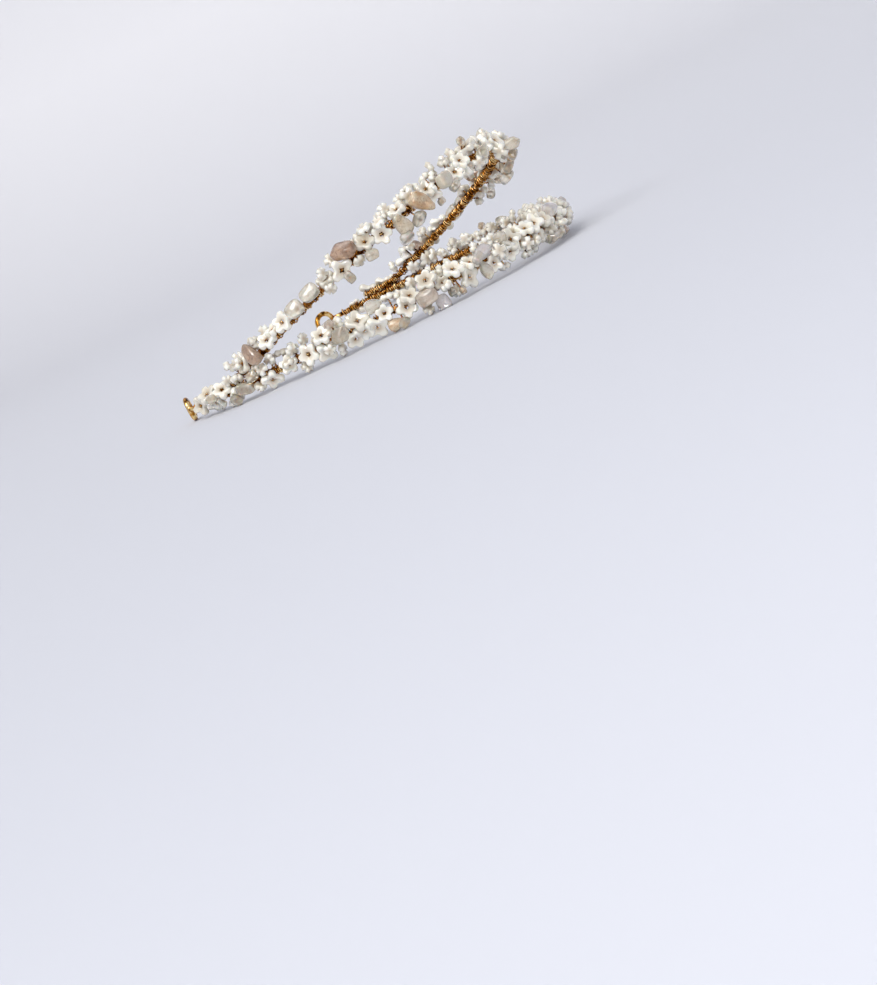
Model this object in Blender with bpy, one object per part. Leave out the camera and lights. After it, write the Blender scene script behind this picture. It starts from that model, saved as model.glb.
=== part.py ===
# Tiara: two gold wires crowded with small shell flowers and tumbled quartz chips.
# The wearer faces -Y and the wearer's right is -X.
# It rests as it would by itself, on its end loops and on its lowest front chips, at z = 0.

import random
from math import copysign, cos, pi, radians, sin

import bmesh
import bpy
from mathutils import Matrix, Vector

MM = 0.001

# Driving sizes, in millimetres and degrees

BAND_HALF_WIDTH = 62.0
BAND_DEPTH = 83.5
BAND_SWEEP = 119.0

ARCH_FOOT_ANGLE = 99.0
ARCH_SWEEP = 100.5
ARCH_SETBACK = 9.4
ARCH_HEIGHT = 30.5
FOOT_TAIL = 13.0

WIRE_RADIUS = 1.0
WIRE_STEP = 6.0
WIRE_ROUNDNESS = 2
DIRECTION_SPAN = 0.5
BAND_POINTS = 120
ARCH_POINTS = 110
TAIL_POINTS = 6
BEND_PASSES = 4
LOOP_OUTER_RADIUS = 4.4
LOOP_TUBE_RADIUS = 0.95
LOOP_HEADING = 58.5
LOOP_SIDES = 16
LOOP_TUBE_SIDES = 8

STRAND_RADIUS = 0.45
STRAND_REACH = 1.9
STRAND_STEP = 2.8
STRAND_ROUNDNESS = 1
STALK_RADIUS = 0.5
STALK_FROM = 3.3

REST_LEAN = 1.5
LOOP_CLEARANCE = 0.02

GAP = 0.3
CHIP_GAP = 0.38
WELD_DISTANCE = 0.002

FLOWER_THICKNESS = 2.2
CORNERS_PER_PETAL = 3
PETAL_VALLEY = 0.62
CHIP_SIDES = 10
CHIP_RINGS = 5
CHIP_BLUNTNESS = 0.8
CHIP_UNEVENNESS = 0.12
CHIP_SEED_WEIGHTS = (31, 17, 7)

MIRROR_FROM = 26.0
MIRROR_SHIFT = 0.5
COPLANAR_ANGLE = 4.0
SHARP_ANGLE = 40.0
PLANING_TOLERANCE = 0.0001

SEED = 7

# Colours of the real materials, as red, green, blue, roughness and metallic

FINISHES = {
    "gold": (0.72, 0.47, 0.17, 0.30, 1.0),
    "shell": (0.90, 0.88, 0.83, 0.22, 0.0),
    "clear_quartz": (0.80, 0.79, 0.76, 0.12, 0.0),
    "rose_quartz": (0.68, 0.50, 0.42, 0.18, 0.0),
    "peach_quartz": (0.72, 0.54, 0.38, 0.18, 0.0),
    "lavender_quartz": (0.66, 0.62, 0.74, 0.15, 0.0),
    "smoky_quartz": (0.50, 0.45, 0.42, 0.18, 0.0),
}

# Flowers of the wearer's right half.
# along: mm from the front middle; around: degrees from outward towards up; reach: mm from the wire's axis.
# Columns: along, around, reach, petals, diameter

BAND_FLOWERS = (
    (1.5, 0, 2.4, 5, 6.4),
    (5.6, 35, 4.6, 5, 6.4),
    (9.2, -25, 2.4, 5, 6.6),
    (10.5, 40, 4.6, 4, 6.4),
    (15.0, 42, 4.4, 5, 6.6),
    (18.5, 0, 2.4, 5, 6.6),
    (21.5, 38, 3.4, 4, 6.6),
    (23.5, -30, 2.5, 5, 6.4),
    (27.0, 12, 2.5, 5, 6.0),
    (30.5, -38, 2.8, 5, 6.2),
    (38.0, 40, 3.4, 5, 6.6),
    (40.0, -42, 3.0, 4, 6.6),
    (44.0, 40, 4.6, 5, 7.4),
    (48.5, 12, 2.4, 5, 5.6),
    (53.0, 48, 5.4, 5, 7.5),
    (59.5, 38, 3.2, 5, 7.0),
    (62.0, -15, 2.4, 5, 7.5),
    (69.0, 20, 2.4, 5, 6.0),
    (73.0, -58, 2.7, 4, 7.0),
    (77.0, -30, 2.5, 5, 6.4),
    (77.5, 42, 3.6, 4, 7.0),
    (81.0, -60, 2.7, 5, 7.0),
    (90.0, 48, 5.0, 5, 7.0),
    (91.0, -42, 2.8, 4, 6.6),
    (97.0, 5, 2.4, 5, 7.5),
    (105.0, 0, 2.4, 5, 6.6),
    (113.0, -50, 2.8, 4, 6.5),
    (128.0, -35, 2.6, 4, 5.0),
    (133.0, 38, 3.4, 5, 7.2),
    (138.5, -22, 2.4, 5, 7.0),
    (139.5, 40, 4.2, 5, 7.6),
    (141.5, -72, 2.4, 5, 6.6),
    (146.0, 0, 2.4, 4, 5.8),
)

ARCH_FLOWERS = (
    (2.0, -25, 2.4, 5, 6.2),
    (-1.8, 42, 4.2, 5, 6.6),
    (9.5, 62, 5.4, 5, 7.6),
    (12.5, -5, 2.4, 4, 6.2),
    (15.5, 35, 4.0, 5, 6.6),
    (19.0, 5, 2.4, 5, 6.6),
    (32.0, 30, 3.4, 5, 6.4),
    (30.5, -30, 2.4, 4, 5.6),
    (43.5, 42, 4.0, 5, 6.6),
    (52.0, 0, 2.4, 5, 7.0),
    (57.5, 42, 2.6, 5, 7.0),
    (68.5, 0, 2.5, 4, 7.0),
    (74.5, 40, 2.6, 5, 6.4),
    (94.0, 32, 3.2, 5, 7.4),
    (98.5, 50, 2.8, 4, 5.0),
    (102.5, 30, 2.6, 5, 7.0),
    (115.5, 50, 2.6, 5, 7.2),
)

# Flowers that only the left half has, close to the front; along counts from the middle towards the left

BAND_FLOWERS_LEFT_FRONT = (
    (9.0, -35, 2.6, 5, 6.6),
    (9.0, 38, 3.6, 5, 6.6),
    (16.0, 20, 2.5, 5, 6.4),
    (20.5, -10, 2.4, 4, 6.4),
)

ARCH_FLOWERS_LEFT_FRONT = (
    (9.0, 30, 4.0, 5, 6.6),
    (13.0, -5, 2.4, 4, 6.0),
    (17.0, 50, 2.6, 5, 5.0),
    (24.0, 25, 2.5, 5, 6.4),
)

# Main chips, each a piece of its own.
# length runs along the wire, breadth around it and depth away from it, in mm; turn is in degrees.
# Columns: name, along, around, length, breadth, depth, turn, finish

BAND_CHIPS = (
    ("front_clear_chip", 2.5, -62, 6.2, 5.0, 4.2, 20, "clear_quartz"),
    ("high_crystal", 24.5, 62, 4.8, 4.6, 4.6, 10, "clear_quartz"),
    ("lilac_chip", 32.5, 45, 6.0, 4.4, 3.8, 15, "lavender_quartz"),
    ("leaf_chip", 34.5, -30, 4.0, 8.0, 3.2, 20, "clear_quartz"),
    ("pink_pebble", 55.0, -12, 7.4, 5.2, 4.0, 0, "rose_quartz"),
    ("lavender_chip", 51.0, -68, 4.8, 4.4, 7.0, 0, "lavender_quartz"),
    ("peach_drop", 67.0, -62, 5.6, 4.2, 4.0, 10, "peach_quartz"),
    ("cream_chip", 71.0, 70, 6.0, 4.8, 4.0, 0, "clear_quartz"),
    ("sparkling_chip", 84.0, 12, 7.0, 5.4, 4.2, 20, "clear_quartz"),
    ("pale_chip", 122.5, -10, 7.0, 4.0, 3.4, -15, "clear_quartz"),
)

BAND_CHIPS_LEFT_FRONT = (
    ("middle_chip", 3.0, 52, 6.0, 4.6, 4.2, 0, "lavender_quartz"),
    ("low_chip", 6.5, -78, 6.0, 4.4, 4.0, 15, "clear_quartz"),
    ("brown_rose_chip", 17.5, -88, 6.6, 4.6, 4.4, -10, "rose_quartz"),
)

ARCH_CHIPS = (
    ("crest_shiny_chip", 5.0, 5, 7.6, 4.4, 4.0, 15, "clear_quartz"),
    ("cream_round_chip", 25.5, 5, 5.6, 5.4, 4.6, 0, "peach_quartz"),
    ("tan_chip", 36.0, -8, 9.8, 5.6, 4.4, -52, "peach_quartz"),
    ("grey_chip", 45.5, -22, 5.2, 8.6, 4.2, 10, "smoky_quartz"),
    ("mauve_chip", 64.0, 58, 9.6, 5.6, 4.6, -46, "rose_quartz"),
    ("milky_chip", 80.5, 25, 7.0, 5.2, 4.2, 0, "clear_quartz"),
    ("milky_chip_low", 87.5, 20, 6.6, 5.6, 4.0, 0, "clear_quartz"),
    ("rose_bar", 109.0, 18, 4.8, 9.2, 4.0, 12, "rose_quartz"),
)

ARCH_CHIPS_LEFT_FRONT = (
    ("side_crystal", 18.0, -8, 4.4, 4.2, 7.0, 0, "smoky_quartz"),
    ("peach_tip_chip", 27.5, -20, 7.6, 4.4, 4.0, 10, "peach_quartz"),
)


# The two wires' routes

class Route:
    """A wire's axis, measured from the front middle: positive places lie on the wearer's right."""

    def __init__(self, points):
        self.points = points
        self.places = [0.0]
        for before, after in zip(points, points[1:]):
            self.places.append(self.places[-1] + (after - before).length)
        middle = self.places[-1] / 2
        self.places = [place - middle for place in self.places]
        self.reach = middle

    def point(self, place):
        for index in range(1, len(self.places)):
            if place <= self.places[index] or index == len(self.places) - 1:
                span = self.places[index] - self.places[index - 1]
                share = (place - self.places[index - 1]) / span
                return self.points[index - 1].lerp(self.points[index], share)

    def frame(self, place, around):
        """Axis point, the wire's direction, and the direction away from the wire at an angle around it."""
        ahead = self.point(place + DIRECTION_SPAN * MM) - self.point(place - DIRECTION_SPAN * MM)
        ahead.normalize()
        here = self.point(place)
        outward = Vector((ahead.y, -ahead.x, 0.0)).normalized()
        if outward.dot(here) < 0:
            outward.negate()
        upward = ahead.cross(outward)
        if upward.z < 0:
            upward.negate()
        turn = radians(around)
        return here, ahead, outward * cos(turn) + upward * sin(turn)


def even_shares(count):
    """From -1 to 1 in even steps."""
    return [2 * step / count - 1 for step in range(count + 1)]


def band_axis_point(angle):
    return Vector((-BAND_HALF_WIDTH * sin(angle), -BAND_DEPTH * cos(angle), 0.0)) * MM


def band_route():
    sweep = radians(BAND_SWEEP)
    return Route([band_axis_point(sweep * share) for share in even_shares(BAND_POINTS)])


def arch_route():
    """An ellipse in plan that rises evenly from the band to the crest, then runs on beside the band."""
    lift = 2 * WIRE_RADIUS + GAP
    foot = band_axis_point(radians(ARCH_FOOT_ANGLE)) / MM
    front = -BAND_DEPTH + ARCH_SETBACK
    sweep = radians(ARCH_SWEEP)
    plan_depth = (foot.y - front) / (1 - cos(sweep))
    plan_half_width = abs(foot.x) / sin(sweep)
    points = []
    for share in even_shares(ARCH_POINTS):
        angle = sweep * share
        y = front + plan_depth * (1 - cos(angle))
        rise = (foot.y - y) / (foot.y - front)
        height = lift + (ARCH_HEIGHT - lift) * rise
        points.append(Vector((-plan_half_width * sin(angle), y, height)) * MM)
    tail = []
    for step in range(1, TAIL_POINTS + 1):
        further = FOOT_TAIL / BAND_DEPTH * step / TAIL_POINTS
        tail.append(band_axis_point(radians(ARCH_FOOT_ANGLE) + further) + Vector((0, 0, lift * MM)))
    left_tail = [Vector((-point.x, point.y, point.z)) for point in reversed(tail)]
    return Route(soften(left_tail + points + tail, BEND_PASSES))


def soften(points, passes):
    """Rounds the bend where the arch meets its tails, and keeps the end points."""
    for _ in range(passes):
        inner = [
            (before + here * 2 + after) / 4
            for before, here, after in zip(points, points[1:], points[2:])
        ]
        points = [points[0]] + inner + [points[-1]]
    return points


# Shapes

def new_object(name, mesh, finish, collection):
    shape = bpy.data.objects.new(name, mesh)
    collection.objects.link(shape)
    if finish:
        mesh.materials.clear()
        mesh.materials.append(material(finish))
    return shape


def material(finish):
    existing = bpy.data.materials.get(finish)
    if existing:
        return existing
    red, green, blue, roughness, metallic = FINISHES[finish]
    made = bpy.data.materials.new(finish)
    made.use_nodes = True
    made.diffuse_color = (red, green, blue, 1.0)
    shader = made.node_tree.nodes["Principled BSDF"]
    shader.inputs["Base Color"].default_value = (red, green, blue, 1.0)
    shader.inputs["Roughness"].default_value = roughness
    shader.inputs["Metallic"].default_value = metallic
    return made


def tube(name, points, radius, resolution, collection):
    """A round wire through the points, as a closed mesh with welded caps."""
    curve = bpy.data.curves.new(name + "_path", "CURVE")
    curve.dimensions = "3D"
    curve.bevel_depth = radius * MM
    curve.bevel_resolution = resolution
    curve.use_fill_caps = True
    spline = curve.splines.new("POLY")
    spline.points.add(len(points) - 1)
    for spot, point in zip(spline.points, points):
        spot.co = (point.x, point.y, point.z, 1.0)
    path = bpy.data.objects.new(name + "_path", curve)
    collection.objects.link(path)
    mesh = evaluated_mesh(path)
    bpy.data.objects.remove(path)
    weld(mesh)
    return new_object(name, mesh, None, collection)


def evaluated_mesh(source):
    view = bpy.context.evaluated_depsgraph_get()
    view.update()
    return bpy.data.meshes.new_from_object(source.evaluated_get(view))


def weld(mesh):
    work = bmesh.new()
    work.from_mesh(mesh)
    bmesh.ops.remove_doubles(work, verts=work.verts, dist=WELD_DISTANCE * MM)
    bmesh.ops.recalc_face_normals(work, faces=work.faces)
    work.to_mesh(mesh)
    work.free()


def stock_mesh(work, name):
    mesh = bpy.data.meshes.new(name)
    work.to_mesh(mesh)
    work.free()
    return mesh


def flower_mesh(petals, diameter):
    """A disc whose rim is drawn in between the petals."""
    radius = diameter / 2 * MM
    corners = CORNERS_PER_PETAL * petals
    work = bmesh.new()
    bmesh.ops.create_cone(
        work, cap_ends=True, segments=corners, radius1=radius, radius2=radius, depth=FLOWER_THICKNESS * MM
    )
    for vertex in work.verts:
        corner = round(vertex.co.xy.angle_signed(Vector((1, 0))) / (2 * pi) * corners) % corners
        if corner % CORNERS_PER_PETAL == 0:
            vertex.co.x *= PETAL_VALLEY
            vertex.co.y *= PETAL_VALLEY
    return stock_mesh(work, "flower")


def chip_mesh(length, breadth, depth, grow=0.0):
    """A tumbled chip: a blunt ellipsoid with uneven facets, or its clearance when it is grown."""
    work = bmesh.new()
    bmesh.ops.create_uvsphere(work, u_segments=CHIP_SIDES, v_segments=CHIP_RINGS, radius=1.0)
    weighted = [weight * size for weight, size in zip(CHIP_SEED_WEIGHTS, (length, breadth, depth))]
    shaping = random.Random(round(sum(weighted)))
    half = Vector((length / 2 + grow, breadth / 2 + grow, depth / 2 + grow)) * MM
    for vertex in work.verts:
        uneven = 1.0 - CHIP_UNEVENNESS * shaping.random()
        for axis in range(3):
            blunt = copysign(abs(vertex.co[axis]) ** CHIP_BLUNTNESS, vertex.co[axis])
            vertex.co[axis] = blunt * half[axis] * uneven
    return stock_mesh(work, "chip")


def seat(route, along, around, reach, turn):
    """Where a bead sits: x along the wire, y around it, z away from it."""
    here, ahead, away = route.frame(along * MM, around)
    sideways = away.cross(ahead)
    axes = Matrix((ahead, sideways, away)).transposed().to_4x4()
    return Matrix.Translation(here + away * reach * MM) @ axes @ Matrix.Rotation(radians(turn), 4, "Z")


# The strings of flowers

random_source = random.Random(SEED)


def mirrored(rows, front_rows):
    """The left half: its own front flowers, then the right half's with small seeded differences."""
    result = [(-row[0],) + tuple(row[1:]) for row in front_rows]
    for along, around, reach, petals, diameter in rows:
        if along > MIRROR_FROM:
            shift = random_source.uniform(-MIRROR_SHIFT, MIRROR_SHIFT)
            other_petals = 5 if petals == 4 else 4
            result.append((shift - along, around, reach, other_petals, diameter))
    return result


def strand_stops(rows):
    """The flowers that the beading wire passes through; the others stand off it on stalks."""
    return sorted((row[0], row[1]) for row in rows if row[2] <= STALK_FROM)


def strand_point(route, stops, place):
    """The beading wire hugs the main wire and swings round it from flower to flower."""
    here, _, away = route.frame(place * MM, angle_at(stops, place))
    return here + away * STRAND_REACH * MM


def angle_at(stops, place):
    if place <= stops[0][0]:
        return stops[0][1]
    for before, after in zip(stops, stops[1:]):
        if place <= after[0]:
            share = (place - before[0]) / (after[0] - before[0])
            ease = share * share * (3 - 2 * share)
            return before[1] + (after[1] - before[1]) * ease
    return stops[-1][1]


def flower_string(name, route, rows, cuts, parts, guides):
    """One fused body: the beading wire, its flowers and their stalks, cut clear of chips and the other wire."""
    stops = strand_stops(rows)
    first = min(row[0] for row in rows)
    last = max(row[0] for row in rows)
    count = round((last - first) / STRAND_STEP)
    places = [first + (last - first) * step / count for step in range(count + 1)]
    points = [strand_point(route, stops, place) for place in places]
    body = tube(name, points, STRAND_RADIUS, STRAND_ROUNDNESS, parts)
    flowers = bpy.data.collections.new(name + "_flowers")
    guides.children.link(flowers)
    for number, (along, around, reach, petals, diameter) in enumerate(rows):
        turn = 360 / petals * random_source.random()
        flower = new_object(f"{name}_{number}", flower_mesh(petals, diameter), None, flowers)
        flower.matrix_world = seat(route, along, around, reach, turn)
        if reach > STALK_FROM:
            ends = [strand_point(route, stops, along), flower.matrix_world.translation]
            tube(f"{name}_stalk_{number}", ends, STALK_RADIUS, STRAND_ROUNDNESS, flowers)
    boolean(body, flowers, "UNION")
    boolean(body, cuts, "DIFFERENCE")
    fix_shape(body)
    keep_largest_body(body.data)
    body.data.materials.clear()
    body.data.materials.append(material("shell"))
    clear_group(flowers)
    return body


def clearance_group(name, chips, other_route, guides):
    """The chips and the other wire, each grown by the gap that the flowers keep from them."""
    group = bpy.data.collections.new(name + "_clearances")
    guides.children.link(group)
    for number, (_, size, place, _) in enumerate(chips):
        cutter = new_object(f"{name}_clearance_{number}", chip_mesh(*size, grow=GAP), None, group)
        cutter.matrix_world = place
    tube(f"{name}_wire_clearance", even_points(other_route), WIRE_RADIUS + GAP, WIRE_ROUNDNESS, group)
    return group


def clear_group(group):
    for guide in list(group.objects):
        bpy.data.objects.remove(guide)
    bpy.data.collections.remove(group)


def fix_shape(body):
    """Replaces the object's mesh with its modifiers' result."""
    mesh = evaluated_mesh(body)
    body.modifiers.clear()
    body.data = mesh


def boolean(body, group, operation):
    change = body.modifiers.new(operation.lower(), "BOOLEAN")
    change.operation = operation
    change.operand_type = "COLLECTION"
    change.collection = group
    change.solver = "EXACT"


def keep_largest_body(mesh):
    """Crumbs that a cut leaves apart from the beading wire are dropped."""
    work = bmesh.new()
    work.from_mesh(mesh)
    bmesh.ops.remove_doubles(work, verts=work.verts, dist=WELD_DISTANCE * MM)
    bmesh.ops.dissolve_limit(work, angle_limit=radians(COPLANAR_ANGLE), verts=work.verts, edges=work.edges)
    unseen = set(work.verts)
    bodies = []
    while unseen:
        start = unseen.pop()
        group = [start]
        front = [start]
        while front:
            here = front.pop()
            for edge in here.link_edges:
                vertex = edge.other_vert(here)
                if vertex in unseen:
                    unseen.remove(vertex)
                    group.append(vertex)
                    front.append(vertex)
        bodies.append(group)
    bodies.sort(key=len, reverse=True)
    crumbs = [vertex for group in bodies[1:] for vertex in group]
    bmesh.ops.delete(work, geom=crumbs, context="VERTS")
    work.to_mesh(mesh)
    work.free()


# The pieces

def build_band_frame(route, parts, guides):
    """The lower wire with its two end loops, soldered into one body."""
    points = even_points(route)
    frame = tube("band_frame", points, WIRE_RADIUS, WIRE_ROUNDNESS, parts)
    loops = bpy.data.collections.new("loops")
    guides.children.link(loops)
    bend_radius = LOOP_OUTER_RADIUS - LOOP_TUBE_RADIUS
    for side, end in ((-1, points[-1]), (1, points[0])):
        heading = Vector((-side * sin(radians(LOOP_HEADING)), cos(radians(LOOP_HEADING)), 0))
        centre = end + heading * bend_radius * MM
        bpy.ops.mesh.primitive_torus_add(
            major_segments=LOOP_SIDES,
            minor_segments=LOOP_TUBE_SIDES,
            major_radius=bend_radius * MM,
            minor_radius=LOOP_TUBE_RADIUS * MM,
            location=centre,
            rotation=(pi / 2, 0, heading.to_2d().angle_signed(Vector((1, 0)))),
        )
        loop = bpy.context.object
        for owner in list(loop.users_collection):
            owner.objects.unlink(loop)
        loops.objects.link(loop)
    boolean(frame, loops, "UNION")
    fix_shape(frame)
    frame.data.materials.clear()
    frame.data.materials.append(material("gold"))
    clear_group(loops)
    return frame


def even_points(route):
    count = round(2 * route.reach / (WIRE_STEP * MM))
    return [route.point(route.reach * share) for share in even_shares(count)]


def build_arch_frame(route, parts):
    frame = tube("arch_frame", even_points(route), WIRE_RADIUS, WIRE_ROUNDNESS, parts)
    frame.data.materials.append(material("gold"))
    return frame


def chip_places(route, rows, side):
    """Name, size, seat and finish of each chip in the rows, on one side of the front middle."""
    result = []
    for name, along, around, length, breadth, depth, turn, finish in rows:
        reach = STRAND_REACH + STRAND_RADIUS + CHIP_GAP + depth / 2
        place = seat(route, side * along, around, reach, side * turn)
        result.append((name, (length, breadth, depth), place, finish))
    return result


def left_rows(rows):
    return [row for row in rows if row[1] > MIRROR_FROM]


def build_chips(prefix, chips, rest, parts):
    for name, size, place, finish in chips:
        chip = new_object(f"{prefix}_{name}", chip_mesh(*size), finish, parts)
        chip.matrix_world = rest @ place


def plane_flat(shape):
    """Takes off what would reach below the surface, which leaves a flat facet at z = 0."""
    mesh = shape.data
    mesh.transform(shape.matrix_world)
    shape.matrix_world = Matrix.Identity(4)
    if min(vertex.co.z for vertex in mesh.vertices) >= 0:
        return
    work = bmesh.new()
    work.from_mesh(mesh)
    everything = list(work.verts) + list(work.edges) + list(work.faces)
    bmesh.ops.bisect_plane(
        work,
        geom=everything,
        dist=PLANING_TOLERANCE * MM,
        plane_co=(0, 0, 0),
        plane_no=(0, 0, -1),
        clear_outer=True,
    )
    bmesh.ops.holes_fill(work, edges=[edge for edge in work.edges if edge.is_boundary])
    work.to_mesh(mesh)
    work.free()


def shade(shape):
    shape.data.shade_smooth()
    shape.data.set_sharp_from_angle(angle=radians(SHARP_ANGLE))


def rest_height():
    """Height of the wire plane over y = 0 when the end loops just touch the surface."""
    bend_radius = LOOP_OUTER_RADIUS - LOOP_TUBE_RADIUS
    loop_y = -BAND_DEPTH * cos(radians(BAND_SWEEP)) + bend_radius * cos(radians(LOOP_HEADING))
    return LOOP_OUTER_RADIUS + LOOP_CLEARANCE + loop_y * sin(radians(REST_LEAN))


def stand_at_origin(shapes):
    """Moves the whole tiara so that the origin is at the bottom centre of its box."""
    corners = [vertex.co for shape in shapes for vertex in shape.data.vertices]
    middle_x = (min(corner.x for corner in corners) + max(corner.x for corner in corners)) / 2
    middle_y = (min(corner.y for corner in corners) + max(corner.y for corner in corners)) / 2
    for shape in shapes:
        shape.data.transform(Matrix.Translation((-middle_x, -middle_y, 0)))


def main():
    for old in list(bpy.data.objects):
        bpy.data.objects.remove(old)
    parts = bpy.data.collections.new("tiara")
    guides = bpy.data.collections.new("cutters")
    bpy.context.scene.collection.children.link(parts)
    bpy.context.scene.collection.children.link(guides)

    band = band_route()
    arch = arch_route()
    rest = Matrix.Translation((0, 0, rest_height() * MM)) @ Matrix.Rotation(-radians(REST_LEAN), 4, "X")

    frames = [build_band_frame(band, parts, guides), build_arch_frame(arch, parts)]

    strings = []
    for label, route, other_route, flowers, left_flowers, chip_rows, left_chip_rows in (
        ("band", band, arch, BAND_FLOWERS, BAND_FLOWERS_LEFT_FRONT, BAND_CHIPS, BAND_CHIPS_LEFT_FRONT),
        ("arch", arch, band, ARCH_FLOWERS, ARCH_FLOWERS_LEFT_FRONT, ARCH_CHIPS, ARCH_CHIPS_LEFT_FRONT),
    ):
        right = chip_places(route, chip_rows, 1)
        left = chip_places(route, left_chip_rows, -1) + chip_places(route, left_rows(chip_rows), -1)
        cuts = clearance_group(label, right + left, other_route, guides)
        for side, rows in (("right", flowers), ("left", mirrored(flowers, left_flowers))):
            strings.append(flower_string(f"{label}_flowers_{side}", route, rows, cuts, parts, guides))
        clear_group(cuts)
        build_chips(f"{label}_right", right, rest, parts)
        build_chips(f"{label}_left", left, rest, parts)

    for shape in frames + strings:
        shape.matrix_world = rest
    for shape in parts.objects:
        plane_flat(shape)
        shade(shape)
    stand_at_origin(parts.objects)


main()
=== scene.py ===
import random
from bisect import bisect_left
from functools import partial
from math import atan2, cos, pi, radians, sin

import bpy
from mathutils import Matrix, Vector
from mathutils.bvhtree import BVHTree


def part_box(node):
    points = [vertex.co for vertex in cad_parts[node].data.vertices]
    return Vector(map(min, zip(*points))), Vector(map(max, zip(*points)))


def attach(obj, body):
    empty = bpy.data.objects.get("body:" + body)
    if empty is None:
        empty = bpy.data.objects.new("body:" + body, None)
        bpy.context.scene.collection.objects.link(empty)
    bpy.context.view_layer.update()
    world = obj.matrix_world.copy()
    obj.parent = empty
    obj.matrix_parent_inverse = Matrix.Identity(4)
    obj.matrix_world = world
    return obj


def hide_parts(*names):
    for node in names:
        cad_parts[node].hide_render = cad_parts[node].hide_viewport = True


# Looks of a double tiara: two gold wires, closely wound, crowded with shell flowers and tumbled quartz.
# Sizes are in millimetres and angles in degrees. The wearer faces -Y and the wearer's right is -X.

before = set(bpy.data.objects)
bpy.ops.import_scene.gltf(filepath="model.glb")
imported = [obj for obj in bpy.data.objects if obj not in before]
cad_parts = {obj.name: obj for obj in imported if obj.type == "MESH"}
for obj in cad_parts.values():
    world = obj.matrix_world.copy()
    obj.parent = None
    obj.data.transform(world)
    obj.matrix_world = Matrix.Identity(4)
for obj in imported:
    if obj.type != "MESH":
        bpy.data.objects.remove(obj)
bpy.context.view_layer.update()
mm = 0.001
chance = random.Random(7)      # the same draws as the part's own flowers
whim = random.Random(23)       # small differences that only the looks have
print("frame loaded:", len(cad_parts), "nodes")


# Camera: the photograph's direction and roll, but from above the floor

photoView = {
    "azimuth": -58.5,
    "elevation": 9.0,
    "roll": -26.7,
    "sideways": -10.4,       # how far the tiara's middle lies right of the line of sight
    "upward": 62.8,          # and above it
    "distance": 754.0,
    "lens": 79.5,            # on a sensor 36 mm wide
    "nearest": 10.0,         # nothing nearer than this shows
}


def lookAtTiara():
    azimuth, elevation, roll = [radians(photoView[name]) for name in ("azimuth", "elevation", "roll")]
    back = Vector((sin(azimuth) * cos(elevation), -cos(azimuth) * cos(elevation), sin(elevation)))
    level = (-back).cross(Vector((0, 0, 1))).normalized()
    upright = level.cross(-back)
    right = level * cos(roll) + upright * sin(roll)
    top = upright * cos(roll) - level * sin(roll)
    eye = -right * photoView["sideways"] - top * photoView["upward"] + back * photoView["distance"]
    bpy.ops.object.camera_add()
    camera = bpy.context.object
    camera.matrix_world = Matrix.Translation(eye * mm) @ Matrix((right, top, back)).transposed().to_4x4()
    camera.data.lens = photoView["lens"]
    camera.data.clip_start = photoView["nearest"] * mm
    bpy.context.scene.camera = camera


lookAtTiara()


# Small helpers

weld = 0.001 * mm      # corners closer than this are one


def turned(degrees, axis):
    return Matrix.Rotation(radians(degrees), 4, axis)


def leaveAll():
    if bpy.context.object and bpy.context.object.mode != "OBJECT":
        bpy.ops.object.mode_set(mode="OBJECT")
    bpy.ops.object.select_all(action="DESELECT")


def takeHold(shape):
    leaveAll()
    shape.select_set(True)
    bpy.context.view_layer.objects.active = shape


def editAll(shape):
    takeHold(shape)
    bpy.ops.object.mode_set(mode="EDIT")
    bpy.ops.mesh.select_all(action="SELECT")


def pick(shape, kind, test):
    # selects, in edit mode, the vertices or faces that pass the test
    takeHold(shape)
    bpy.ops.object.mode_set(mode="EDIT")
    bpy.context.tool_settings.mesh_select_mode = (kind == "vertices", False, kind == "polygons")
    bpy.ops.mesh.select_all(action="DESELECT")
    bpy.ops.object.mode_set(mode="OBJECT")
    for element in getattr(shape.data, kind):
        element.select = test(element)
    bpy.ops.object.mode_set(mode="EDIT")


def stretch(*shares):
    # from the middle of the model
    bpy.ops.transform.resize(value=shares, center_override=(0, 0, 0))


def finishEdit():
    bpy.ops.mesh.select_all(action="SELECT")
    bpy.ops.mesh.normals_make_consistent(inside=False)
    bpy.ops.object.mode_set(mode="OBJECT")


def roundOff(shape, levels):
    takeHold(shape)
    rounding = shape.modifiers.new("rounding", "SUBSURF")
    rounding.levels = levels
    rounding.render_levels = levels
    bpy.ops.object.modifier_apply(modifier=rounding.name)
    bpy.ops.object.shade_smooth()


def copyShape(source, name, place):
    # a copy with its own mesh, whose place goes into the mesh
    shape = source.copy()
    shape.data = source.data.copy()
    shape.name = name
    bpy.context.scene.collection.objects.link(shape)
    shape.data.transform(place)
    return shape


def fillUnit(shape, half):
    # centres a model and stretches it to its half size, because rounding shrinks it
    corners = [vertex.co for vertex in shape.data.vertices]
    low = [min(corner[axis] for corner in corners) for axis in range(3)]
    high = [max(corner[axis] for corner in corners) for axis in range(3)]
    middle = Vector([(a + b) / 2 for a, b in zip(low, high)])
    fit = Matrix.Diagonal([2 * half / (b - a) for a, b in zip(low, high)] + [1])
    shape.data.transform(fit @ Matrix.Translation(-middle))


def keepOffFloor(shape):
    lowest = min(vertex.co.z for vertex in shape.data.vertices)
    if lowest < 0:
        shape.data.transform(Matrix.Translation((0, 0, -lowest)))


def joinShapes(name, shapes):
    leaveAll()
    for shape in shapes:
        shape.select_set(True)
    bpy.context.view_layer.objects.active = shapes[0]
    bpy.ops.object.join()
    shapes[0].name = name
    shapes[0].data.name = name
    return shapes[0]


def settle(piece, material, slot, *nodes):
    piece.data.materials.clear()
    piece.data.materials.append(material)
    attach(piece, "root")
    if nodes:
        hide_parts(*nodes)
    return piece


# Materials

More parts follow.
